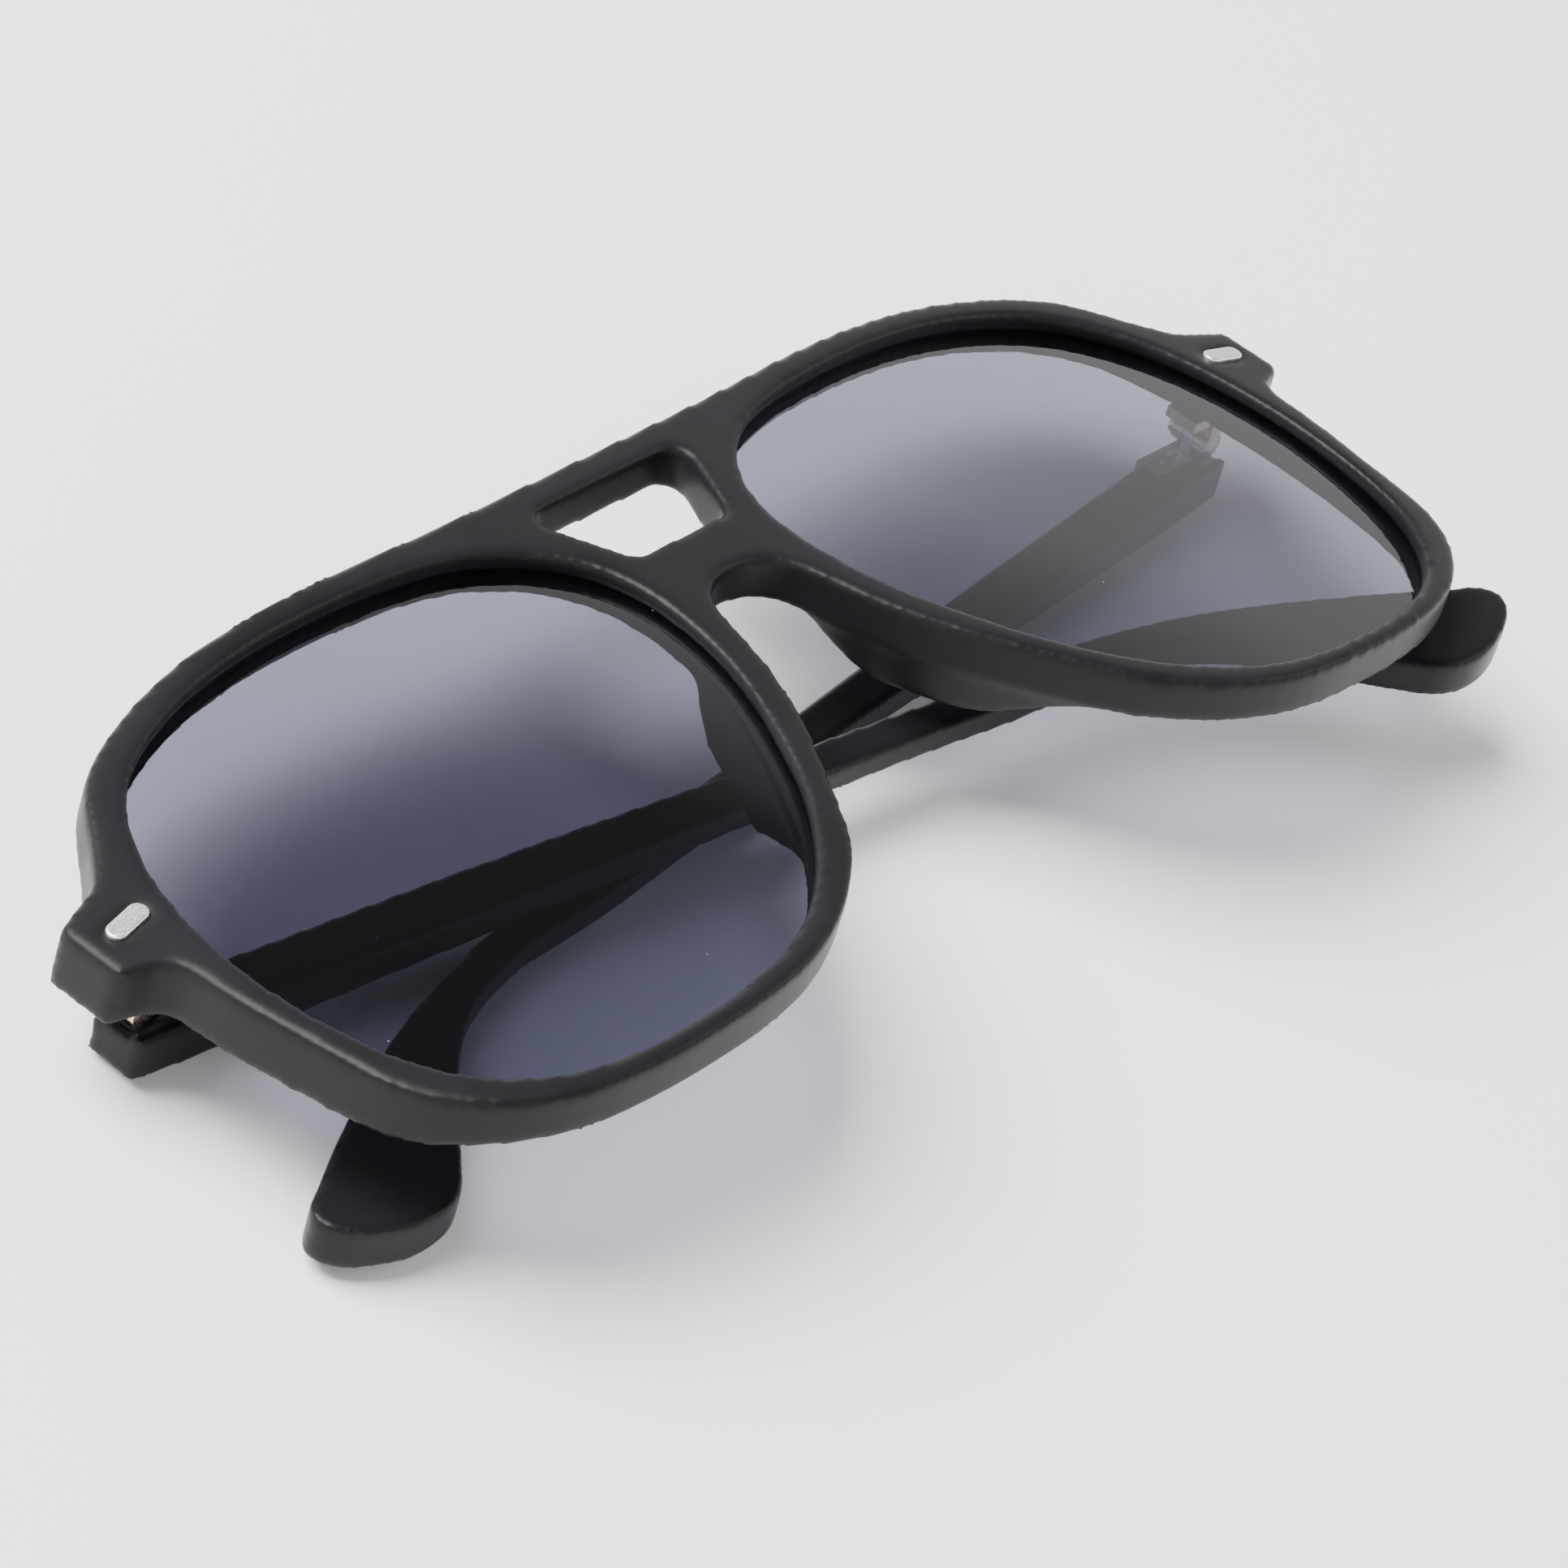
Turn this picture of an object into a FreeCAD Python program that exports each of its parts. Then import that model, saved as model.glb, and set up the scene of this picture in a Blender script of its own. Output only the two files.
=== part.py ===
import FreeCAD, Part
import math, os
from FreeCAD import Vector, Rotation, Placement

# Navigator (double-bridge aviator) sunglasses, folded and lying face up on the
# two folded temples.
#
# Design frame of the front: X along the front (wearer's left is +X), Y from the
# lens bottoms towards the brow, Z out of the front face.  The finished model is
# tilted about X and lifted, so that the row frame has +Z up from the surface
# that the folded temples rest on.

doc = FreeCAD.newDocument("sunglasses")

# ---------------------------------------------------------------- sheet
sheet = doc.addObject("Spreadsheet::Sheet", "sheet")
DIMS = [
    ("front_width", 146.0),          # over both end pieces
    ("front_curve_radius", 521.0),   # face-form of the front
    ("rim_depth", 4.2),
    ("end_piece_depth", 5.2),
    ("opening_width", 56.9),
    ("opening_height", 48.4),
    ("opening_center_x", 37.15),
    ("opening_center_y", -9.8),
    ("window_top_half", 9.9),
    ("window_bottom_half", 5.7),
    ("window_top", 12.9),
    ("window_bottom", 4.4),
    ("window_corner", 1.5),
    ("edge_round", 0.75),
    ("back_round", 0.45),
    ("pad_depth", 8.6),
    ("pad_splay", 0.9),
    ("lens_thickness", 1.8),
    ("lens_radius", 330.0),
    ("lens_seat", 0.7),
    ("lens_drop", 1.45),
    ("pin_length", 4.3),
    ("pin_width", 1.7),
    ("pin_head", 0.75),
    ("pin_proud", 0.22),
    ("pin_leg_diameter", 0.9),
    ("pin_leg_length", 2.6),
    ("pin_center_x", 68.7),
    ("pin_center_y", -1.05),
    ("pin_angle", 9.0),
    ("hinge_x", 67.4),
    ("hinge_y", -1.8),
    ("hinge_z", -12.0),
    ("barrel_diameter", 2.4),
    ("barrel_outer_length", 1.15),
    ("barrel_middle_length", 1.2),
    ("barrel_gap", 0.06),
    ("screw_diameter", 1.2),
    ("screw_clearance", 0.05),
    ("screw_head_diameter", 2.0),
    ("screw_head_height", 0.5),
    ("screw_slot", 0.3),
    ("leaf_thickness", 0.9),
    ("front_leaf_length", 6.0),
    ("front_leaf_width", 3.2),
    ("temple_leaf_length", 6.2),
    ("temple_leaf_width", 2.6),
    ("leaf_screw_diameter", 0.9),
    ("leaf_screw_head", 1.5),
    ("butt_offset", 1.4),
    ("butt_height", 4.8),
    ("mid_height", 3.4),
    ("temple_drop", 0.6),
    ("temple_slope_deg", 6.6),
    ("temple_thick_butt", 4.1),
    ("temple_thick_mid", 2.5),
    ("temple_thick_tip", 3.5),
    ("temple_round", 0.8),
    ("core_diameter", 1.1),
    ("core_start", 11.0),
    ("core_end", 121.0),
    ("hinge_lean_deg", 1.9),
    ("fold_trim_deg", 1.5),
    ("rest_tilt_deg", 7.45),
]
for row, (name, value) in enumerate(DIMS, start=1):
    sheet.set("A%d" % row, name)
    sheet.set("B%d" % row, str(value))
    sheet.setAlias("B%d" % row, name)
doc.recompute()


def D(name):
    return float(getattr(sheet, name))


# ---------------------------------------------------------------- helpers
def feature(name, shape, placement=None):
    obj = doc.addObject("Part::Feature", name)
    obj.Label = name
    obj.Shape = shape
    if placement is not None:
        obj.Placement = placement
    return obj


def spline(points, closed=False):
    curve = Part.BSplineCurve()
    curve.interpolate([Vector(p[0], p[1], p[2] if len(p) > 2 else 0.0) for p in points],
                      PeriodicFlag=closed)
    return curve.toShape()


def prism(wire, z0, z1):
    face = Part.Face(wire)
    face.translate(Vector(0, 0, z0))
    return face.extrude(Vector(0, 0, z1 - z0))


def line(a, b):
    return Part.LineSegment(Vector(*a), Vector(*b)).toShape()


def rounded_polygon(points, radii):
    # straight sides with arcs in the corners, in the XY plane
    n = len(points)
    starts, ends, mids = [], [], []
    for i in range(n):
        p = Vector(*points[i], 0)
        a = Vector(*points[i - 1], 0) - p
        b = Vector(*points[(i + 1) % n], 0) - p
        a.normalize()
        b.normalize()
        half = math.acos(max(-1, min(1, a.dot(b)))) / 2
        r = radii[i]
        cut = r / math.tan(half)
        starts.append(p + a * cut)
        ends.append(p + b * cut)
        bis = a + b
        bis.normalize()
        mids.append(p + bis * (r / math.sin(half) - r))
    edges = []
    for i in range(n):
        edges.append(Part.Arc(starts[i], mids[i], ends[i]).toShape())
        edges.append(Part.LineSegment(ends[i], starts[(i + 1) % n]).toShape())
    return Part.Wire(edges)


def mirror_x(shape):
    return shape.mirror(Vector(0, 0, 0), Vector(1, 0, 0))


def front_z(x):
    R = D("front_curve_radius")
    return -(R - math.sqrt(R * R - x * x))


# ---------------------------------------------------------------- outline of the front
sx = D("front_width") / 146.0
BROW = [(0, 15.8), (6, 15.82), (11, 15.9), (16, 16.05), (20, 16.25), (28, 16.8), (35, 17.0),
        (42.5, 16.8), (48.5, 15.95), (53.6, 14.6), (57.4, 13.15), (60.8, 11.1),
        (63.0, 8.8), (64.8, 6.5), (66.6, 4.5)]
LOWER = [(69.9, -5.45), (68.95, -6.6), (68.6, -9.0), (68.4, -11.6), (67.9, -15.0), (67.3, -18.6),
         (66.7, -22.2), (65.8, -25.5), (64.2, -28.3), (62.0, -30.6), (59.4, -32.4),
         (56.4, -33.8), (52.8, -34.8), (49.0, -35.4), (45.0, -35.75), (40.6, -35.85),
         (36.2, -35.75), (32.0, -35.25), (28.0, -34.1), (24.2, -32.35), (21.0, -30.3),
         (18.3, -28.0), (16.2, -25.3), (14.2, -22.5), (12.25, -19.7), (10.45, -16.9),
         (8.85, -14.0), (7.45, -11.0), (6.35, -7.8), (5.5, -4.8), (4.6, -2.8), (3.2, -1.5),
         (1.6, -0.88), (0.0, -0.7)]

END_TOP = [(67.6, 3.5), (69.3, 2.8), (71.4, 2.15)]
brow = [(x * sx, y) for x, y in BROW + END_TOP]
lower = [(x * sx, y) for x, y in LOWER]
xe = D("front_width") / 2
d_top = Vector(0.962, -0.273, 0)      # upper side of an end piece, falling outwards
d_low = Vector(0.950, 0.312, 0)       # its lower side, rising outwards
e_brow = spline([(-x, y) for x, y in reversed(brow[1:])] + brow)
e_lower = spline(lower + [(-x, y) for x, y in reversed(lower[:-1])])


def end_piece_path(s):
    # straight sides and two rounded corners at the outer end
    a = Vector(brow[-1][0], brow[-1][1], 0)
    b = Vector(lower[0][0], lower[0][1], 0)
    c1 = a + d_top * ((xe - a.x) / d_top.x)
    c2 = b + d_low * ((xe - b.x) / d_low.x)
    edges = []
    last = a
    for corner, before, after, r in ((c1, d_top, Vector(0, -1, 0), 0.8),
                                     (c2, Vector(0, -1, 0), d_low * -1, 0.7)):
        half = math.acos(max(-1, min(1, (before * -1).dot(after)))) / 2
        cut = r / math.tan(half)
        p, q = corner - before * cut, corner + after * cut
        bis = after - before
        bis.normalize()
        m = corner + bis * (r / math.sin(half) - r)
        edges.append((last, p))
        edges.append((p, m, q))
        last = q
    edges.append((last, b))
    out = []
    for e in edges:
        e = [Vector(s * v.x, v.y, 0) for v in e]
        out.append(Part.LineSegment(*e).toShape() if len(e) == 2 else Part.Arc(*e).toShape())
    return out


outline = Part.Wire(Part.__sortEdges__([e_brow] + end_piece_path(1) + [e_lower] + end_piece_path(-1)))

# curved slabs: the front follows a wide cylinder about Y
R = D("front_curve_radius")


def stepped_slab():
    # the band between the front cylinder and the back, deeper at the end pieces
    def at(r, x):
        return Vector(x, -60, math.sqrt(r * r - x * x) - R)

    def arc(r, xa, xb):
        return Part.Arc(at(r, xa), at(r, (xa + xb) / 2), at(r, xb)).toShape()

    def seg(p, q):
        return Part.LineSegment(p, q).toShape()

    thin, deep = R - D("rim_depth"), R - D("end_piece_depth")
    step, end = 67.2 * sx, 90.0
    ramp = step - 5.5                       # the rim thickens gradually towards the end piece
    w = Part.Wire([
        arc(R, -end, end), seg(at(R, end), at(deep, end)), arc(deep, end, step),
        seg(at(deep, step), at(thin, ramp)), arc(thin, ramp, -ramp),
        seg(at(thin, -ramp), at(deep, -step)), arc(deep, -step, -end),
        seg(at(deep, -end), at(R, -end))])
    return Part.Face(w).extrude(Vector(0, 120, 0))


# lens openings
OPENING = [(35.5, 14.5), (42.0, 14.3), (47.8, 13.45), (53.0, 11.9), (57.5, 9.6), (60.8, 6.4),
           (63.1, 2.6), (64.6, -1.8), (65.4, -6.5), (65.6, -11.0), (65.2, -15.6), (64.3, -20.2),
           (62.7, -24.6), (60.0, -28.4), (56.3, -31.3), (51.8, -33.0), (46.5, -33.85),
           (40.8, -34.0), (35.2, -33.6), (29.9, -32.3), (25.0, -29.8), (20.4, -26.0),
           (16.6, -21.5), (13.0, -15.5), (10.3, -9.6), (8.9, -3.9), (8.7, 1.2), (10.0, 5.6),
           (12.9, 9.2), (17.0, 11.8), (22.8, 13.45), (29.0, 14.2)]
ocx, ocy = D("opening_center_x"), D("opening_center_y")
kx, ky = D("opening_width") / 56.9, D("opening_height") / 48.4
opening = [(ocx + (x - 37.15) * kx, ocy + (y + 9.8) * ky) for x, y in OPENING]


def opening_wire(grow):
    n = len(opening)
    out = []
    for i in range(n):
        ax, ay = opening[i - 1]
        bx, by = opening[(i + 1) % n]
        tx, ty = bx - ax, by - ay
        k = math.hypot(tx, ty)
        out.append((opening[i][0] - ty / k * grow, opening[i][1] + tx / k * grow))
    return Part.Wire([spline(out, closed=True)])


def opening_prism(grow):
    w = opening_wire(grow)
    return prism(w, -30, 12)


# lens blank: a shallow dome whose centre sits behind the middle of the opening
lr = D("lens_radius")
lt = D("lens_thickness")
mid_z = front_z(ocx)
chord = (front_z(65.6) - front_z(8.7)) / (65.6 - 8.7)
lean = math.atan(-chord)
apex = Vector(ocx, ocy + 1.0, mid_z - D("lens_drop") + 0.55)
axis = Vector(math.sin(lean), 0, math.cos(lean))
centre = apex - axis * lr


def dome(radius):
    # a ball whose poles and seam stay well away from the lens
    ball = Part.makeSphere(radius)
    ball.rotate(Vector(0, 0, 0), Vector(1, 0, 0), 90)
    ball.rotate(Vector(0, 0, 0), Vector(0, 1, 0), 90)
    if ball.Edges:
        seam = [e for e in ball.Edges if not e.Degenerated][0]
        if seam.CenterOfMass.z > 0:
            ball.rotate(Vector(0, 0, 0), Vector(0, 1, 0), 180)
    ball.translate(centre)
    return ball


lens_shell = dome(lr).cut(dome(lr - lt))
lens = lens_shell.common(opening_prism(D("lens_seat")))
lens = lens.Solids[0] if len(lens.Solids) == 1 else max(
    lens.Solids, key=lambda q: q.CenterOfMass.z)
print("lens", lens.isValid(), round(lens.Volume, 1), lens.BoundBox)
# window between the two bridge bars
wt, wb = D("window_top_half"), D("window_bottom_half")
window = rounded_polygon([(-wt, D("window_top")), (wt, D("window_top")),
                          (wb, D("window_bottom")), (-wb, D("window_bottom"))],
                         [D("window_corner")] * 4)

# the plate with its three holes, cut to the curved slab
mouth = opening_wire(0.0)
plate = Part.makeFace([outline, mouth, mirror_x(mouth), window], "Part::FaceMakerBullseye")
print("plate area", round(plate.Area, 1), plate.isValid())
plate.translate(Vector(0, 0, -14))
front = plate.extrude(Vector(0, 0, 18)).common(stepped_slab())
print("front volume", round(front.Volume, 1), "valid", front.isValid(), "solids", len(front.Solids))

# nose pads moulded in one with the rims: the nasal part of each rim runs back
PAD_OUT = [(5.9, -4.0), (6.5, -7.2), (7.75, -10.9), (9.3, -14.3), (11.2, -17.7), (13.4, -20.9),
           (15.7, -24.1), (18.5, -27.4)]
PAD_IN = [(7.9, -4.4), (9.5, -7.6), (11.0, -10.9), (12.6, -14.0), (14.3, -16.9), (16.2, -19.7),
          (18.0, -22.4), (19.9, -25.7)]
PAD_BACK_OUT = [(8.0, -6.9), (8.2, -8.6), (8.9, -11.3), (10.1, -14.2), (11.6, -16.8), (13.3, -19.2),
                (14.6, -20.9), (15.7, -22.3)]
PAD_BACK_IN = [(9.6, -7.4), (10.0, -9.0), (10.9, -11.5), (12.2, -14.0), (13.6, -16.3), (15.1, -18.4),
               (16.1, -19.9), (17.0, -21.4)]


def pad_wire(outer, inner, z, shift=0.0):
    o = [(x + shift, y, z) for x, y in outer]
    n = [(x + shift, y, z) for x, y in reversed(inner)]
    return Part.Wire([spline(o), line(o[-1], n[0]), spline(n), line(n[-1], o[0])])


def part_of(points, a, b):
    """The stretch of a row of points from fraction a to fraction b, again as eight points."""
    out = []
    for k in range(8):
        t = (a + (b - a) * k / 7.0) * (len(points) - 1)
        i = min(int(t), len(points) - 2)
        f = t - i
        out.append((points[i][0] + (points[i + 1][0] - points[i][0]) * f,
                    points[i][1] + (points[i + 1][1] - points[i][1]) * f))
    return out


def between(p, q, share):
    return [(u[0] + (v[0] - u[0]) * share, u[1] + (v[1] - u[1]) * share) for u, v in zip(p, q)]


back = D("rim_depth")
rise = D("pad_depth") - back
sections = [pad_wire(PAD_OUT, PAD_IN, -back + 0.9), pad_wire(PAD_OUT, PAD_IN, -back)]
for share, a, b in ((0.22, 0.02, 0.93), (0.45, 0.05, 0.86), (0.68, 0.09, 0.79), (0.87, 0.15, 0.71), (1.0, 0.23, 0.62)):
    sections.append(pad_wire(part_of(between(PAD_OUT, PAD_BACK_OUT, share), a, b),
                             part_of(between(PAD_IN, PAD_BACK_IN, share), a, b),
                             -back - rise * share, D("pad_splay") * 0.5 * share))
pad = Part.makeLoft(sections, True, True)
print("pad", pad.isValid(), round(pad.Volume, 1))
front = front.fuse(pad)
print("pad 1", front.isValid(), round(front.Volume, 1))
front = front.fuse(mirror_x(pad))
print("front with pads", front.isValid(), len(front.Solids), round(front.Volume, 1))

# grooves that hold the lenses
front = front.cut(lens)
print("groove 1", front.isValid(), round(front.Volume, 1))
front = front.cut(mirror_x(lens))
print("front grooved", front.isValid(), len(front.Solids), round(front.Volume, 1))
front = max(front.Solids, key=lambda q: q.Volume)
print("front", front.isValid(), round(front.Volume, 1))

# ---------------------------------------------------------------- placement of the whole
# The front is tilted so that the two temple butts and the tip of the outer
# temple lie on one level.
rest_turn = Rotation(Vector(1, 0, 0), -D("rest_tilt_deg"))

nodes = []          # (label, shape in the design frame)


def add(name, shape):
    solids = shape.Solids
    shape = solids[0] if len(solids) == 1 else Part.makeCompound(solids)
    nodes.append((name, shape))
    return shape


add("front_frame", front)
add("lens_left", lens)
add("lens_right", mirror_x(lens))

# ---------------------------------------------------------------- small parts, as primitives
TURN = {"Z": Rotation(), "Y": Rotation(Vector(1, 0, 0), -90), "-Z": Rotation(Vector(1, 0, 0), 180)}


def cylinder(name, radius, height, at, axis="Z"):
    obj = doc.addObject("Part::Cylinder", name)
    obj.setExpression("Radius", radius)
    obj.setExpression("Height", height)
    obj.Placement = Placement(Vector(*at), TURN[axis])
    return obj


def cone(name, radius1, radius2, height, at, axis="-Z"):
    obj = doc.addObject("Part::Cone", name)
    obj.setExpression("Radius1", radius1)
    obj.setExpression("Radius2", radius2)
    obj.setExpression("Height", height)
    obj.Placement = Placement(Vector(*at), TURN[axis])
    return obj


def block(name, length, width, height, at):
    obj = doc.addObject("Part::Box", name)
    obj.setExpression("Length", length)
    obj.setExpression("Width", width)
    obj.setExpression("Height", height)
    obj.Placement = Placement(Vector(*at), Rotation())
    return obj


def joined(name, members):
    obj = doc.addObject("Part::MultiFuse", name)
    obj.Shapes = members
    obj.Refine = True
    return obj


def less(name, base_obj, tool):
    obj = doc.addObject("Part::Cut", name)
    obj.Base = base_obj
    obj.Tool = tool
    return obj


def box(x0, x1, y0, y1, z0, z1):
    return Part.makeBox(x1 - x0, y1 - y0, z1 - z0, Vector(x0, y0, z0))


parametric = {}      # label -> document object, still in its own local frame

# Front pin: an oblong bright inlay with a rounded rim, on two short legs.  Local
# frame: X along the pin, Z out of the front, origin under the middle of the head.
half_run = (D("pin_length") - D("pin_width")) / 2
for side in ("left", "right"):
    n = "pin_" + side
    run = "sheet.pin_length - sheet.pin_width"
    head = joined(n + "_head", [
        block(n + "_bar", run, "sheet.pin_width", "sheet.pin_head", (-half_run, -D("pin_width") / 2, 0)),
        cylinder(n + "_end_a", "sheet.pin_width / 2", "sheet.pin_head", (-half_run, 0, 0)),
        cylinder(n + "_end_b", "sheet.pin_width / 2", "sheet.pin_head", (half_run, 0, 0))])
    doc.recompute()
    rounded = doc.addObject("Part::Fillet", n + "_rounded")
    rounded.Base = head
    rounded.Edges = [(k, 0.2, 0.2) for k, e in enumerate(head.Shape.Edges, start=1)
                     if abs(e.BoundBox.ZMin - D("pin_head")) < 1e-4]
    legs = [cylinder(n + "_leg_" + t, "sheet.pin_leg_diameter / 2", "sheet.pin_leg_length + 0.2",
                     (k * half_run * 0.95, 0, -D("pin_leg_length"))) for t, k in (("a", -1), ("b", 1))]
    parametric["front_pin_" + side] = joined("front_pin_" + side, [rounded] + legs)

# Hinge, local frame: origin on the hinge axis at mid height, Y along the axis,
# Z towards the back of the front.  The folded temple runs along +X on the
# wearer's right and along -X on the wearer's left.
br = D("barrel_diameter") / 2
lo, lm, gap = D("barrel_outer_length"), D("barrel_middle_length"), D("barrel_gap")
sr = D("screw_diameter") / 2
lth = D("leaf_thickness")
y_in, y_out = lm / 2 + gap, lm / 2 + gap + lo
up = -D("hinge_z") - (D("end_piece_depth") - front_z(D("hinge_x")))   # axis to the end piece's back
inner = -br                                  # inner face of the temple, below the axis
tl, tw = D("temple_leaf_length"), D("temple_leaf_width")
R_B, R_S, R_C = "sheet.barrel_diameter / 2", "sheet.screw_diameter / 2", "sheet.screw_diameter / 2 + sheet.screw_clearance"
for side, sg in (("right", 1), ("left", -1)):
    n = "fleaf_" + side
    fl = D("front_leaf_length")
    x0 = -2.6 if sg > 0 else 2.6 - fl
    solid = joined(n + "_body", [
        block(n + "_plate", "sheet.front_leaf_length", "sheet.front_leaf_width", "sheet.leaf_thickness + 0.12",
              (x0, -D("front_leaf_width") / 2, up - 0.12)),
        block(n + "_web_a", "1.5", "sheet.barrel_outer_length", str(round(up + 0.1, 5)), (-0.75, y_in, 0)),
        block(n + "_web_b", "1.5", "sheet.barrel_outer_length", str(round(up + 0.1, 5)), (-0.75, -y_out, 0)),
        cylinder(n + "_barrel_a", R_B, "sheet.barrel_outer_length", (0, y_in, 0), "Y"),
        cylinder(n + "_barrel_b", R_B, "sheet.barrel_outer_length", (0, -y_out, 0), "Y")])
    bores = joined(n + "_bores", [
        cylinder(n + "_bore_a", R_C, "sheet.barrel_outer_length + 0.4", (0, y_in - 0.2, 0), "Y"),
        cylinder(n + "_bore_b", R_S, "sheet.barrel_outer_length + 0.4", (0, -y_out - 0.2, 0), "Y")])
    parametric["hinge_front_leaf_" + side] = less("hinge_front_leaf_" + side, solid, bores)

    # screw: head on the upper barrel, clear in two barrels, tight in the lower one
    n = "screw_" + side
    hh = D("screw_head_height")
    solid = joined(n + "_body", [
        cylinder(n + "_shank", R_S, "2 * sheet.barrel_outer_length + sheet.barrel_middle_length + 2 * sheet.barrel_gap + 0.02",
                 (0, -y_out, 0), "Y"),
        cylinder(n + "_head", "sheet.screw_head_diameter / 2", "sheet.screw_head_height", (0, y_out + 0.01, 0), "Y")])
    parametric["hinge_screw_" + side] = less("hinge_screw_" + side, solid, block(
        n + "_slot", "4", "1", "sheet.screw_slot", (-2, y_out + 0.01 + hh - 0.25, -D("screw_slot") / 2)))

    # temple leaf: one middle barrel and a plate let into the inner face of the temple
    n = "tleaf_" + side
    solid = joined(n + "_body", [
        block(n + "_plate", "sheet.temple_leaf_length", "sheet.temple_leaf_width", "sheet.leaf_thickness",
              (0 if sg > 0 else -tl, -tw / 2, inner - lth)),
        block(n + "_neck", "1.1", "sheet.barrel_middle_length", str(round(0.3 - inner, 5)),
              (0 if sg > 0 else -1.1, -lm / 2, inner - 0.3)),
        cylinder(n + "_barrel", R_B, "sheet.barrel_middle_length", (0, -lm / 2, 0), "Y")])
    tools = [cylinder(n + "_bore", R_C, "10", (0, -5, 0), "Y")]
    screws = []
    for k, xs in (("a", 2.5 * sg), ("b", 4.9 * sg)):
        tools += [cylinder(n + "_hole_" + k, "sheet.leaf_screw_diameter / 2", "3", (xs, 0, inner), "-Z"),
                  cone(n + "_sink_" + k, "sheet.leaf_screw_head / 2", "sheet.leaf_screw_diameter / 2", "0.35", (xs, 0, inner))]
        one = joined(n + "_screw_" + k, [
            cone(n + "_cone_" + k, "sheet.leaf_screw_head / 2", "sheet.leaf_screw_diameter / 2", "0.35", (xs, 0, inner)),
            cylinder(n + "_thread_" + k, "sheet.leaf_screw_diameter / 2", "2.1", (xs, 0, inner), "-Z")])
        screws.append(less(n + "_slotted_" + k, one, block(
            n + "_slot_" + k, "2", "0.2", "1.2", (xs - 1, -0.1, inner - 0.18))))
    parametric["hinge_temple_leaf_" + side] = less("hinge_temple_leaf_" + side, solid, joined(n + "_tools", tools))
    pair = doc.addObject("Part::Compound", "temple_leaf_screws_" + side)
    pair.Links = screws
    parametric["temple_leaf_screws_" + side] = pair
doc.recompute()
local = {k: o.Shape.copy() for k, o in parametric.items()}
leaf_screws = local["temple_leaf_screws_right"]

# ---------------------------------------------------------------- temple, local frame
slope = math.tan(math.radians(D("temple_slope_deg")))
bo = D("butt_offset")


def mid_y(x):
    return -D("temple_drop") - slope * (x + bo)


def half_h(x):
    k = max(0.0, min(1.0, (x - 28.0) / 52.0))
    k = k * k * (3 - 2 * k)
    return (D("butt_height") + (D("mid_height") - D("butt_height")) * k) / 2


top_pts = [(x, mid_y(x) + half_h(x)) for x in (-bo, 8, 20, 32, 44, 56, 68, 80, 92)]
top_pts += [(100.0, -10.45), (106.0, -11.75), (112.0, -13.5), (118.0, -15.8), (124.0, -18.7), (129.5, -21.6), (133.2, -23.75)]
bot_pts = [(x, mid_y(x) - half_h(x)) for x in (-bo, 8, 20, 32, 44, 56, 68, 80, 92)]
bot_pts += [(99.0, -13.5), (104.5, -14.7), (109.0, -16.5), (113.0, -19.2), (117.0, -22.9), (120.5, -26.4)]
tip_pts = [bot_pts[-1], (122.6, -28.5), (124.6, -30.1), (127.2, -30.9), (130.2, -30.8), (133.0, -29.9),
           (135.3, -28.6), (136.3, -27.2), (136.2, -25.9), (135.1, -24.8), top_pts[-1]]
side = Part.Wire([spline(top_pts), spline([(p[0], p[1]) for p in reversed(tip_pts)]),
                  spline(list(reversed(bot_pts))), line((bot_pts[0][0], bot_pts[0][1], 0), (top_pts[0][0], top_pts[0][1], 0))])
side_body = prism(side, -12, 4)

tb, tm, tt = D("temple_thick_butt"), D("temple_thick_mid"), D("temple_thick_tip")
inner_pts = [(-bo, inner), (40, inner), (80, inner), (110, inner), (119, inner + 0.1), (129, inner + 0.55), (140, inner + 1.3)]
outer_pts = [(-bo, inner - tb), (6, inner - tb), (20, inner - tb + 0.35 * (tb - tm)), (40, inner - tb + 0.75 * (tb - tm)),
             (60, inner - tm - 0.12), (80, inner - tm), (100, inner - tm - 0.1), (114, inner - tm - 0.2),
             (127, inner - tt + 0.35), (140, inner - tt + 0.95)]


def xz(points):
    return [(x, -40.0, z) for x, z in points]


plan = Part.Wire([spline(xz(inner_pts)), line(xz(inner_pts)[-1], xz(outer_pts)[-1]),
                  spline(list(reversed(xz(outer_pts)))), line(xz(outer_pts)[0], xz(inner_pts)[0])])
plan_body = Part.Face(plan).extrude(Vector(0, 60, 0))
temple = side_body.common(plan_body)
print("temple", temple.isValid(), len(temple.Solids), round(temple.Volume, 1))
# mouth for the hinge barrels at the butt, and the seat of the leaf
temple = temple.cut(box(-3, 1.35, -y_out - 0.35, y_out + 0.75, inner - 0.45, 5))
temple = temple.cut(box(-0.2, tl, -tw / 2, tw / 2, inner - lth, 5))
temple = temple.cut(leaf_screws)
core_pts = [(D("core_start"), mid_y(D("core_start")), inner - 1.9), (40, mid_y(40), inner - 1.45), (90, mid_y(90), inner - 1.25),
            (D("core_end") - 16, -13.05, inner - 1.25), (D("core_end"), -21.9, inner - 1.3)]
p = [Vector(*q) for q in core_pts]


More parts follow.
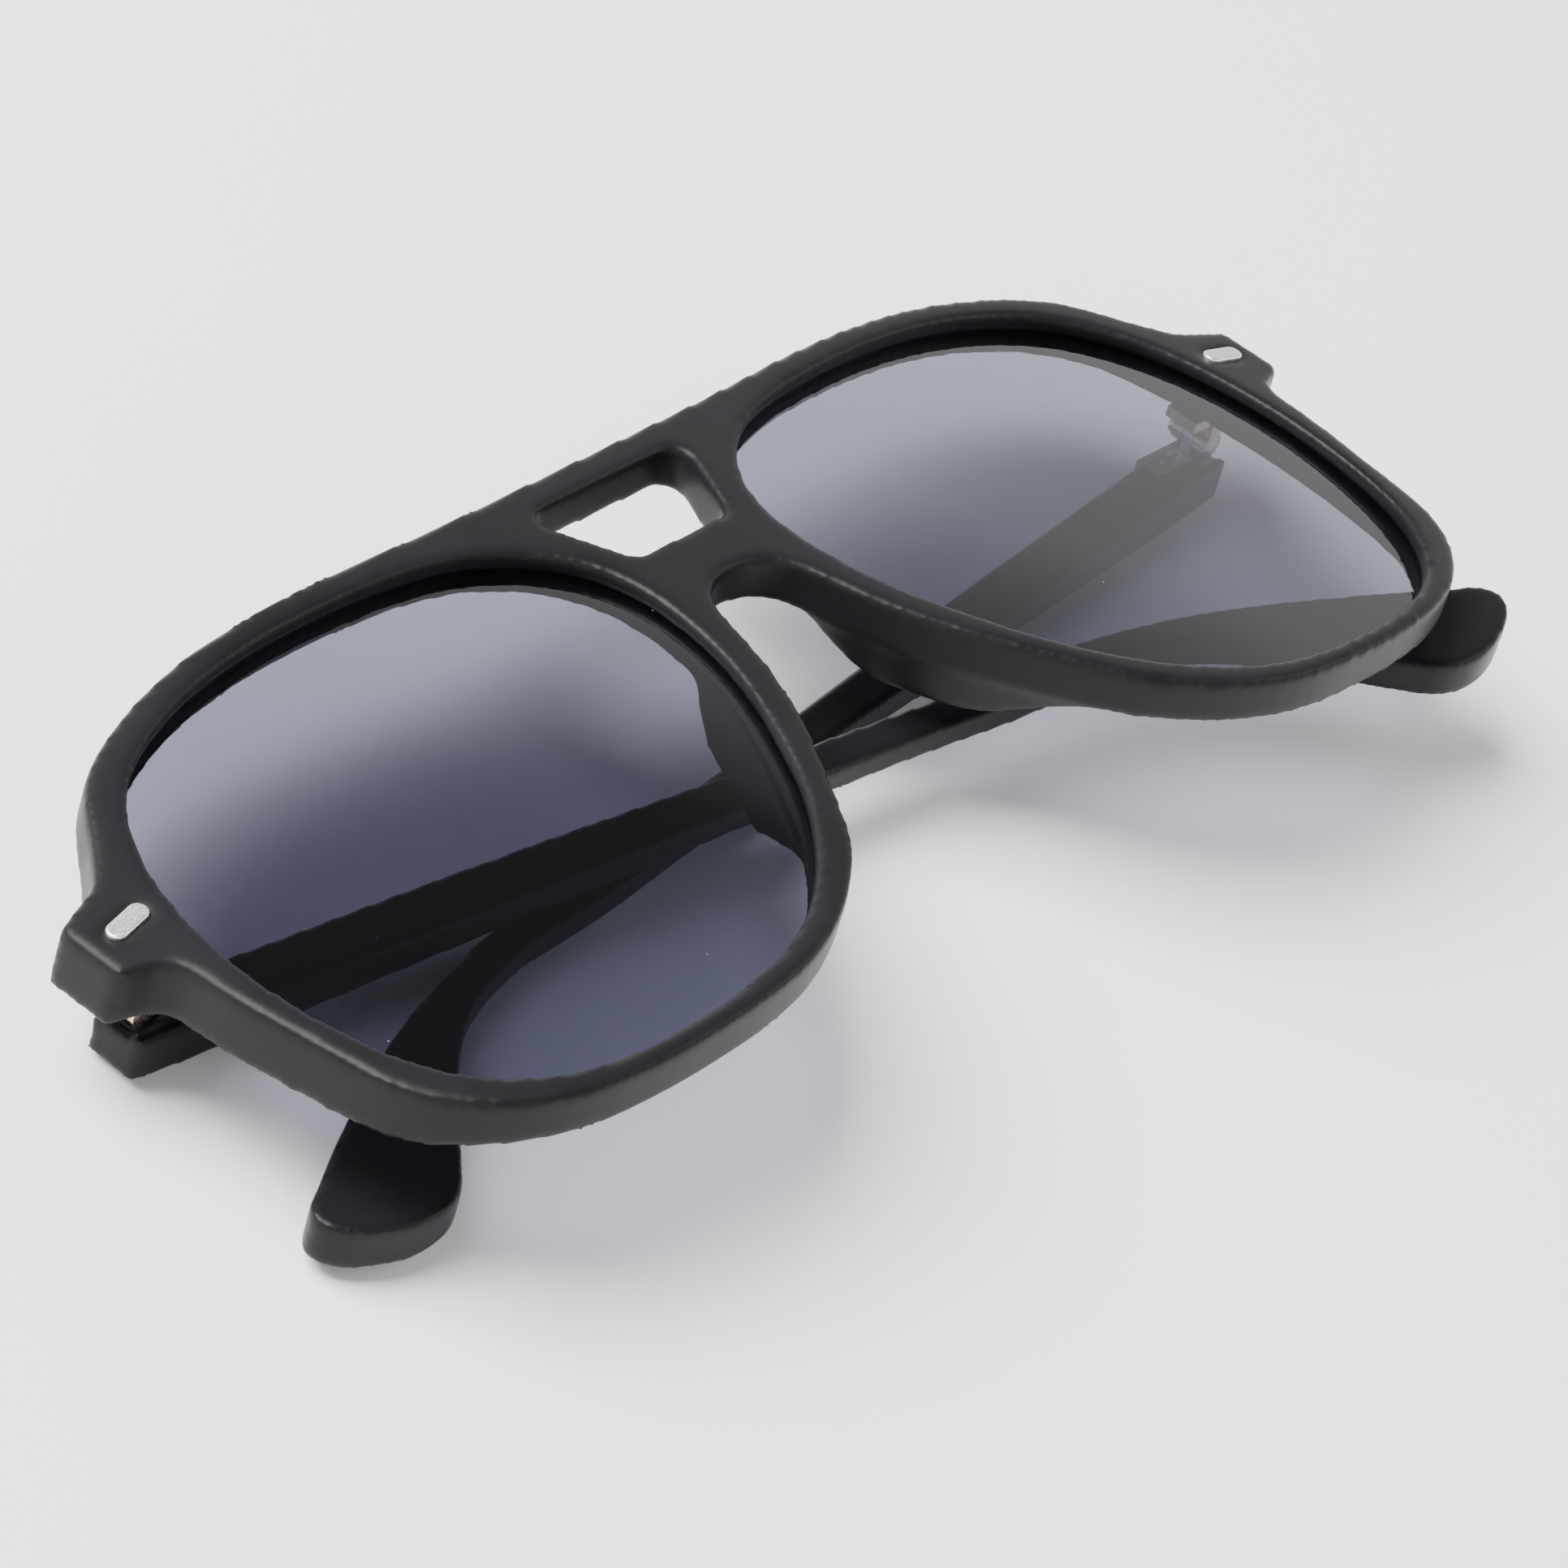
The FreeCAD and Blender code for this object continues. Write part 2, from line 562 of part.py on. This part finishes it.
def rounded_path(pts, radius_share=0.42):
    edges, last = [], pts[0]
    for i in range(1, len(pts) - 1):
        a, b, c = pts[i - 1], pts[i], pts[i + 1]
        u, w = (a - b), (c - b)
        cut = radius_share * min(u.Length, w.Length)
        u.normalize()
        w.normalize()
        s0, s1 = b + u * cut, b + w * cut
        half = math.acos(max(-1, min(1, u.dot(w)))) / 2
        if math.pi - 2 * half < 1e-3:
            continue
        r = cut * math.tan(half)
        bis = u + w
        bis.normalize()
        m = b + bis * (r / math.sin(half) - r)
        edges.append(Part.LineSegment(last, s0).toShape())
        edges.append(Part.Arc(s0, m, s1).toShape())
        last = s1
    edges.append(Part.LineSegment(last, pts[-1]).toShape())
    return Part.Wire(edges)


path = rounded_path(p)
d0 = p[1] - p[0]
ring = Part.Wire(Part.makeCircle(D("core_diameter") / 2, p[0], d0))
core = path.makePipeShell([ring], True, True)
core = core if core.ShapeType == "Solid" else Part.Solid(Part.Shell(core.Faces))
if core.Volume < 0:
    core.reverse()
print("core", core.isValid(), round(core.Volume, 2), "expected", round(math.pi * D("core_diameter") ** 2 / 4 * path.Length, 2))
temple = temple.cut(core)
print("temple cut", temple.isValid(), len(temple.Solids), round(temple.Volume, 1))
temple = max(temple.Solids, key=lambda q: q.Volume)

# ---------------------------------------------------------------- place both hinges
hx, hy, hz = D("hinge_x"), D("hinge_y"), D("hinge_z")
lean_deg, trim = D("hinge_lean_deg"), D("fold_trim_deg")
# wearer's right (-X): local X runs to +X.  Wearer's left (+X): mirrored.
turn_r_hinge = Rotation(Vector(0, 0, 1), -lean_deg)
turn_r_fold = turn_r_hinge.multiply(Rotation(Vector(0, 1, 0), -trim))
turn_l_hinge = Rotation(Vector(0, 0, 1), -lean_deg)
turn_l_fold = turn_l_hinge.multiply(Rotation(Vector(0, 1, 0), -trim))
place_r_hinge = Placement(Vector(-hx, hy, hz), turn_r_hinge)
place_r_fold = Placement(Vector(-hx, hy, hz), turn_r_fold)
place_l_hinge = Placement(Vector(hx, hy, hz), turn_l_hinge)
place_l_fold = Placement(Vector(hx, hy, hz), turn_l_fold)


def put(shape, place):
    q = shape.copy()
    q.Placement = place.multiply(q.Placement)
    return q


px = D("pin_center_x")
seat = Vector(px, D("pin_center_y"), front_z(px) + D("pin_proud") - D("pin_head"))
lean_out = math.degrees(math.asin(px / R))
PLACES = {
    "front_pin_left": Placement(seat, Rotation(Vector(0, 1, 0), lean_out).multiply(
        Rotation(Vector(0, 0, 1), -D("pin_angle")))),
    "front_pin_right": Placement(Vector(-seat.x, seat.y, seat.z), Rotation(Vector(0, 1, 0), -lean_out).multiply(
        Rotation(Vector(0, 0, 1), D("pin_angle")))),
}
for side, hinge_place, fold_place in (("right", place_r_hinge, place_r_fold), ("left", place_l_hinge, place_l_fold)):
    PLACES["hinge_front_leaf_" + side] = PLACES["hinge_screw_" + side] = hinge_place
    PLACES["hinge_temple_leaf_" + side] = PLACES["temple_leaf_screws_" + side] = fold_place
placed = {k: put(local[k], PLACES[k]) for k in local}
te_r, te_l = put(temple, place_r_fold), put(mirror_x(temple), place_l_fold)
co_r, co_l = put(core, place_r_fold), put(mirror_x(core), place_l_fold)

# seats in the front for the pins and the leaves
for k in ("front_pin_left", "front_pin_right", "hinge_front_leaf_right", "hinge_front_leaf_left"):
    front = front.cut(placed[k])
print("front seats", front.isValid(), len(front.Solids), round(front.Volume, 1))
front = max(front.Solids, key=lambda q: q.Volume)
nodes[0] = ("front_frame", front)
add("temple_left", te_l)
add("temple_right", te_r)
add("temple_core_left", co_l)
add("temple_core_right", co_r)

# ---------------------------------------------------------------- rest pose in the row frame
turned = Part.makeCompound([put(q, Placement(Vector(), rest_turn)) for q in [q for _, q in nodes] + list(placed.values())])
bb = turned.optimalBoundingBox(False, False)
shift = Vector(-(bb.XMin + bb.XMax) / 2, -(bb.YMin + bb.YMax) / 2, -bb.ZMin)
base = Placement(shift, rest_turn)
print("box", [round(v, 3) for v in (bb.XLength, bb.YLength, bb.ZLength)], "shift", shift)

objects = []
for name, shape in nodes:
    objects.append(feature(name, shape, base.multiply(shape.Placement)))
for name, obj in parametric.items():
    obj.Label = name
    obj.Placement = base.multiply(PLACES[name])
    objects.append(obj)
doc.recompute()

for label, pl_h in (("right", place_r_hinge), ("left", place_l_hinge)):
    o = base.multVec(pl_h.Base)
    d = base.Rotation.multVec(pl_h.Rotation.multVec(Vector(0, 1, 0)))
    print("hinge", label, "origin", [round(v, 4) for v in o], "axis", [round(v, 5) for v in d])

bad = [o.Label for o in doc.Objects if {"Invalid", "Error"} & set(o.State)]
bad += [o.Label for o in objects if o.Shape.isNull() or not o.Shape.isValid()]
if bad:
    raise SystemExit("not written, faulty: " + ", ".join(sorted(set(bad))))

os.makedirs("parts", exist_ok=True)
for o in objects:
    o.Shape.exportStep("parts/%s.step" % o.Label)
    b = o.Shape.BoundBox
    print("%-26s %9.2f mm3  x %7.2f..%7.2f  y %7.2f..%7.2f  z %6.2f..%6.2f" % (
        o.Label, o.Shape.Volume, b.XMin, b.XMax, b.YMin, b.YMax, b.ZMin, b.ZMax))
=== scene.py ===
import math

import bmesh
import bpy
from mathutils import Matrix, Vector


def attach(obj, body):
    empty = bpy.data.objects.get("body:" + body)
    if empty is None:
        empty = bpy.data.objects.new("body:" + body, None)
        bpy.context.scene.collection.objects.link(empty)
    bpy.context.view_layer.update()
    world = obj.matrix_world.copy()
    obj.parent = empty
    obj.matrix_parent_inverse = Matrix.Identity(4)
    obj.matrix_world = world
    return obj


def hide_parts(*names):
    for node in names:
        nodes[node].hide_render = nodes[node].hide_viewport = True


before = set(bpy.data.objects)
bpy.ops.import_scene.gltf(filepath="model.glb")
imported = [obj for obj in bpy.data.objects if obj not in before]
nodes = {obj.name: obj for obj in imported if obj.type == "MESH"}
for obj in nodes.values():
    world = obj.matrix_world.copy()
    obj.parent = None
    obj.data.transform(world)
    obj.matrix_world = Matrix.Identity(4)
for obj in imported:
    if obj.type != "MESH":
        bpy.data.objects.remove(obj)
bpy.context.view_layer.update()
scene = bpy.context.scene


# ------------------------------------------------------------------ materials
def material(name):
    m = bpy.data.materials.new(name)
    m.use_nodes = True
    t = m.node_tree
    for n in list(t.nodes):
        t.nodes.remove(n)
    out = t.nodes.new("ShaderNodeOutputMaterial")
    return m, t, out


def node(t, kind, **values):
    n = t.nodes.new(kind)
    for k, v in values.items():
        if k in n.inputs:
            n.inputs[k].default_value = v
        else:
            setattr(n, k, v)
    return n


def coords(t, scale):
    c = t.nodes.new("ShaderNodeTexCoord")
    m = t.nodes.new("ShaderNodeMapping")
    m.inputs["Scale"].default_value = scale
    t.links.new(c.outputs["Object"], m.inputs["Vector"])
    return m.outputs["Vector"]


def noise(t, vec, scale, detail=4.0, rough=0.55):
    n = t.nodes.new("ShaderNodeTexNoise")
    n.inputs["Scale"].default_value = scale
    n.inputs["Detail"].default_value = detail
    n.inputs["Roughness"].default_value = rough
    t.links.new(vec, n.inputs["Vector"])
    return n.outputs["Fac"]


def ramp(t, fac, stops):
    r = t.nodes.new("ShaderNodeValToRGB")
    e = r.color_ramp.elements
    while len(e) < len(stops):
        e.new(0.5)
    for k, (pos, col) in enumerate(stops):
        e[k].position = pos
        e[k].color = col if len(col) == 4 else (*col, 1.0)
    t.links.new(fac, r.inputs["Fac"])
    return r.outputs["Color"]


def spread(t, fac, lo, hi):
    r = t.nodes.new("ShaderNodeMapRange")
    r.inputs["From Min"].default_value = 0.3
    r.inputs["From Max"].default_value = 0.7
    r.inputs["To Min"].default_value = lo
    r.inputs["To Max"].default_value = hi
    t.links.new(fac, r.inputs["Value"])
    return r.outputs["Result"]


def bump(t, height, strength, distance, under=None):
    b = t.nodes.new("ShaderNodeBump")
    b.inputs["Strength"].default_value = strength
    b.inputs["Distance"].default_value = distance
    t.links.new(height, b.inputs["Height"])
    if under is not None:
        t.links.new(under, b.inputs["Normal"])
    return b.outputs["Normal"]


def soft_black(name, tint, rough):
    """Soft-touch black coating: very fine grain, faint handling smudges."""
    m, t, out = material(name)
    p = t.nodes.new("ShaderNodeBsdfPrincipled")
    v = coords(t, (1, 1, 1))
    broad = noise(t, v, 55.0, 3.0)
    grain = noise(t, v, 5200.0, 2.0, 0.6)
    mid = noise(t, v, 900.0, 3.0, 0.6)
    lo = tuple(c * 0.82 for c in tint)
    hi = tuple(c * 1.22 for c in tint)
    t.links.new(ramp(t, broad, [(0.3, lo), (0.72, hi)]), p.inputs["Base Color"])
    t.links.new(spread(t, broad, rough - 0.05, rough + 0.06), p.inputs["Roughness"])
    n = bump(t, mid, 0.10, 0.0001)
    n = bump(t, grain, 0.22, 0.00004, n)
    t.links.new(n, p.inputs["Normal"])
    p.inputs["IOR"].default_value = 1.5
    p.inputs["Specular IOR Level"].default_value = 0.14
    p.inputs["Sheen Weight"].default_value = 0.0
    p.inputs["Sheen Roughness"].default_value = 0.5
    t.links.new(p.outputs["BSDF"], out.inputs["Surface"])
    return m


def metal(name, tint, rough, brush=(1, 1, 1), scratch=0.12):
    m, t, out = material(name)
    p = t.nodes.new("ShaderNodeBsdfPrincipled")
    v = coords(t, brush)
    fine = noise(t, v, 2600.0, 3.0)
    broad = noise(t, coords(t, (1, 1, 1)), 420.0, 3.0)
    lo = tuple(c * 0.86 for c in tint)
    t.links.new(ramp(t, broad, [(0.3, lo), (0.7, tint)]), p.inputs["Base Color"])
    t.links.new(spread(t, fine, rough * 0.75, rough * 1.35), p.inputs["Roughness"])
    t.links.new(bump(t, fine, scratch, 0.00003), p.inputs["Normal"])
    p.inputs["Metallic"].default_value = 1.0
    t.links.new(p.outputs["BSDF"], out.inputs["Surface"])
    return m


def lens_tint(name, tint):
    """Tinted sheet: light passes straight, darkened at each face, with a faint
    mirror at the front face and a few specks of dust."""
    m, t, out = material(name)
    v = coords(t, (1, 1, 1))
    broad = noise(t, v, 28.0, 2.0)
    dust = noise(t, v, 1500.0, 2.0, 0.5)
    clear = t.nodes.new("ShaderNodeBsdfTransparent")
    t.links.new(ramp(t, broad, [(0.3, tuple(c * 0.985 for c in tint)), (0.7, tint)]), clear.inputs["Color"])
    shine = t.nodes.new("ShaderNodeBsdfGlossy")
    shine.inputs["Color"].default_value = (0.96, 0.96, 1.0, 1.0)
    t.links.new(spread(t, broad, 0.015, 0.035), shine.inputs["Roughness"])
    fres = t.nodes.new("ShaderNodeFresnel")
    fres.inputs["IOR"].default_value = 1.62
    geo = t.nodes.new("ShaderNodeNewGeometry")
    front = t.nodes.new("ShaderNodeMath")
    front.operation = "SUBTRACT"
    front.inputs[0].default_value = 1.0
    t.links.new(geo.outputs["Backfacing"], front.inputs[1])
    fac = t.nodes.new("ShaderNodeMath")
    fac.operation = "MULTIPLY"
    t.links.new(fres.outputs["Fac"], fac.inputs[0])
    t.links.new(front.outputs[0], fac.inputs[1])
    both = t.nodes.new("ShaderNodeMixShader")
    t.links.new(fac.outputs[0], both.inputs["Fac"])
    t.links.new(clear.outputs[0], both.inputs[1])
    t.links.new(shine.outputs[0], both.inputs[2])
    speck = t.nodes.new("ShaderNodeBsdfDiffuse")
    speck.inputs["Color"].default_value = (0.75, 0.75, 0.78, 1.0)
    cut = t.nodes.new("ShaderNodeMapRange")
    cut.inputs["From Min"].default_value = 0.79
    cut.inputs["From Max"].default_value = 0.85
    cut.inputs["To Max"].default_value = 0.35
    t.links.new(dust, cut.inputs["Value"])
    last = t.nodes.new("ShaderNodeMixShader")
    t.links.new(cut.outputs["Result"], last.inputs["Fac"])
    t.links.new(both.outputs[0], last.inputs[1])
    t.links.new(speck.outputs[0], last.inputs[2])
    t.links.new(last.outputs[0], out.inputs["Surface"])
    return m


FRONT = soft_black("soft_black_front", (0.0075, 0.0071, 0.0086), 0.40)
ARM = soft_black("soft_black_temple", (0.0068, 0.0064, 0.0078), 0.36)
LENS = lens_tint("lens_lavender_grey", (0.385, 0.388, 0.448))
PIN = metal("pin_bright", (0.98, 0.95, 0.90), 0.36, (1, 6, 1), 0.10)
STEEL = metal("hinge_steel", (0.50, 0.50, 0.52), 0.30, (1, 8, 1), 0.20)
BARREL = metal("hinge_nickel_copper", (0.66, 0.52, 0.40), 0.28, (1, 8, 1), 0.20)
SCREW = metal("screw_steel", (0.72, 0.71, 0.70), 0.24, (6, 1, 1), 0.16)
WIRE = metal("core_wire", (0.58, 0.58, 0.60), 0.34, (1, 6, 6), 0.20)


def paint(obj, mat, slot=None):
    obj.data.materials.clear()
    obj.data.materials.append(mat)


for n, o in nodes.items():
    if n == "front_frame":
        paint(o, FRONT)
    elif n in ("temple_left", "temple_right"):
        paint(o, ARM)
    elif n.startswith("lens"):
        paint(o, LENS)
    elif n.startswith("front_pin"):
        paint(o, PIN)
    elif n.startswith("hinge_front_leaf"):
        paint(o, BARREL)
    elif n.startswith("hinge_temple_leaf"):
        paint(o, STEEL)
    elif n.startswith("temple_core"):
        paint(o, WIRE)
    else:
        paint(o, SCREW)


# ------------------------------------------------------------------ softened mouldings
def soften(name, body, voxel, rounds, mat):
    """The moulded piece with its edges rounded: the same solid, evenly meshed
    and relaxed, so that every sharp edge becomes a small radius."""
    src = nodes[name]
    obj = bpy.data.objects.new(name + "_moulded", src.data.copy())
    scene.collection.objects.link(obj)
    bpy.context.view_layer.objects.active = obj
    for o in bpy.context.selected_objects:
        o.select_set(False)
    obj.select_set(True)
    weld = obj.modifiers.new("weld", "WELD")
    weld.merge_threshold = 0.000002
    bpy.ops.object.modifier_apply(modifier="weld")
    # meshed askew, so that no long edge runs along a row of cells
    askew = Matrix.Rotation(math.radians(31), 4, "X") @ Matrix.Rotation(math.radians(27), 4, "Z") @ Matrix.Rotation(math.radians(19), 4, "Y")
    obj.data.transform(askew)
    r = obj.modifiers.new("even", "REMESH")
    r.mode = "VOXEL"
    r.voxel_size = voxel
    r.adaptivity = 0.0
    r.use_smooth_shade = True
    s = obj.modifiers.new("relax", "SMOOTH")
    s.factor = 0.5
    s.iterations = rounds
    for m in list(obj.modifiers):
        bpy.ops.object.modifier_apply(modifier=m.name)
    obj.data.transform(askew.inverted())
    # only the outer skin is kept, not the skins of sealed pockets inside
    bm = bmesh.new()
    bm.from_mesh(obj.data)
    bm.verts.ensure_lookup_table()
    mark, groups = [-1] * len(bm.verts), []
    for v in bm.verts:
        if mark[v.index] >= 0:
            continue
        g, todo = len(groups), [v]
        mark[v.index] = g
        members = []
        while todo:
            q = todo.pop()
            members.append(q)
            for e in q.link_edges:
                w = e.other_vert(q)
                if mark[w.index] < 0:
                    mark[w.index] = g
                    todo.append(w)
        groups.append(members)
    groups.sort(key=len)
    for members in groups[:-1]:
        bmesh.ops.delete(bm, geom=members, context="VERTS")
    bm.to_mesh(obj.data)
    bm.free()
    obj.data.shade_smooth()
    paint(obj, mat)
    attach(obj, body)
    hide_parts(name)
    return obj


soften("front_frame", "front", 0.00032, 26, FRONT)
soften("temple_left", "left_temple", 0.00026, 26, ARM)
soften("temple_right", "right_temple", 0.00026, 26, ARM)

# ------------------------------------------------------------------ floor and light
bpy.ops.mesh.primitive_plane_add(size=6.0, location=(0, 0, -0.0003))
floor = bpy.context.object
floor.name = "floor"
fm, ft, fo = material("floor_white")
fp = ft.nodes.new("ShaderNodeBsdfPrincipled")
fn = noise(ft, coords(ft, (1, 1, 1)), 6.0, 3.0)
ft.links.new(ramp(ft, fn, [(0.3, (0.90, 0.90, 0.90)), (0.7, (0.93, 0.93, 0.93))]), fp.inputs["Base Color"])
fp.inputs["Roughness"].default_value = 0.9
ft.links.new(fp.outputs["BSDF"], fo.inputs["Surface"])
floor.data.materials.append(fm)

world = bpy.data.worlds.new("studio")
scene.world = world
world.use_nodes = True
# a white backdrop low all round, a dark ceiling above it
wt = world.node_tree
bg = wt.nodes["Background"]
wc = wt.nodes.new("ShaderNodeTexCoord")
ws = wt.nodes.new("ShaderNodeSeparateXYZ")
wt.links.new(wc.outputs["Generated"], ws.inputs["Vector"])
wr = ramp(wt, ws.outputs["Z"], [(0.0, (1.0, 1.0, 1.0)), (0.42, (1.0, 1.0, 1.0)), (0.60, (0.16, 0.16, 0.17)), (1.0, (0.16, 0.16, 0.17))])
wt.links.new(wr, bg.inputs["Color"])
bg.inputs["Strength"].default_value = 1.15


def area(name, place, aim, size, power, tint=(1, 1, 1)):
    d = bpy.data.lights.new(name, "AREA")
    d.shape = "RECTANGLE"
    d.size, d.size_y = size
    d.energy = power
    d.color = tint
    o = bpy.data.objects.new(name, d)
    o.location = place
    o.rotation_mode = "QUATERNION"
    o.rotation_quaternion = (Vector(aim) - Vector(place)).to_track_quat("-Z", "Y")
    scene.collection.objects.link(o)
    return o


area("key", (-0.45, 0.60, 0.95), (0, 0, 0.01), (0.9, 0.9), 58.0, (1.0, 0.99, 0.98))
area("side", (-0.75, -0.75, 0.75), (0, 0, 0.01), (0.8, 0.8), 3.5, (0.97, 0.98, 1.0))
area("fill", (0.9, -0.7, 0.9), (0, 0, 0.01), (0.9, 0.9), 6.0, (0.98, 0.98, 1.0))

# ------------------------------------------------------------------ camera
cam_data = bpy.data.cameras.new("camera")
cam = bpy.data.objects.new("camera", cam_data)
scene.collection.objects.link(cam)
x = Vector((0.613126, -0.712852, 0.340468))
y = Vector((0.337072, 0.625845, 0.703349))
z = Vector((-0.714464, -0.316479, 0.624004))
cam.matrix_world = Matrix((
    (x[0], y[0], z[0], -0.410386),
    (x[1], y[1], z[1], -0.183705),
    (x[2], y[2], z[2], 0.362270),
    (0, 0, 0, 1)))
cam_data.sensor_width = 36.0
cam_data.lens = 167.7
cam_data.clip_start = 0.02
cam_data.clip_end = 20.0
scene.camera = cam
